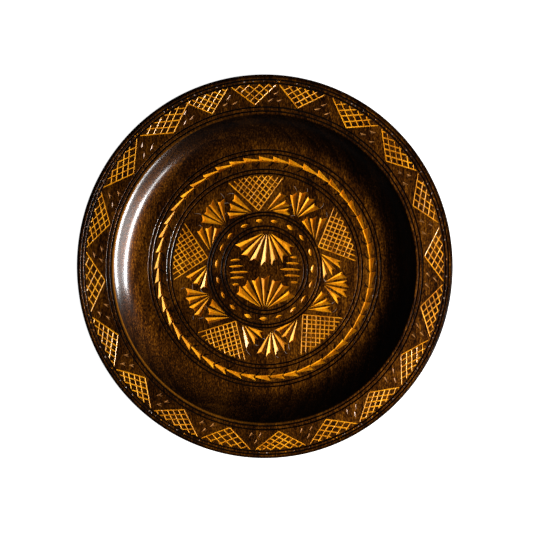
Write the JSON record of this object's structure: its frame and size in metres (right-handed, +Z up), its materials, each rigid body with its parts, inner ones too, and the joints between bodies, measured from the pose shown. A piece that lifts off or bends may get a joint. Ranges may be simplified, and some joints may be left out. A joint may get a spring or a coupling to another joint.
{
  "type": "carved wooden bowl",
  "caption": "Shallow lathe-turned wooden bowl with a wide rim, a foot, turned grooves and chip-carved bands, with a folding wire ring under the foot for hanging on a wall.",
  "frame": {"origin": "middle of the foot's resting plane", "axes": "+Z up out of the hollow, +Y along the grain towards the hanging side, +X across the grain"},
  "size_m": [0.2916, 0.3, 0.024],
  "materials": {
    "stained_wood": "dark stain under clear gloss lacquer, with bare honey-coloured wood in the carving",
    "hanger_brass": "brass plate, satin",
    "screw_steel": "zinc plate"
  },
  "bodies": {
    "bowl": {"bowl": "stained_wood", "hanger_strap": "hanger_brass", "hanger_screws": "screw_steel"},
    "ring": {"hanger_ring": "hanger_brass"}
  },
  "joints": [
    {"name": "ring_swing", "type": "hinge", "parent": "bowl", "child": "ring", "pos_m": [0, 0.05, 0.00275], "axis": [-1, 0, 0], "range_deg": [0, 160]}
  ]
}
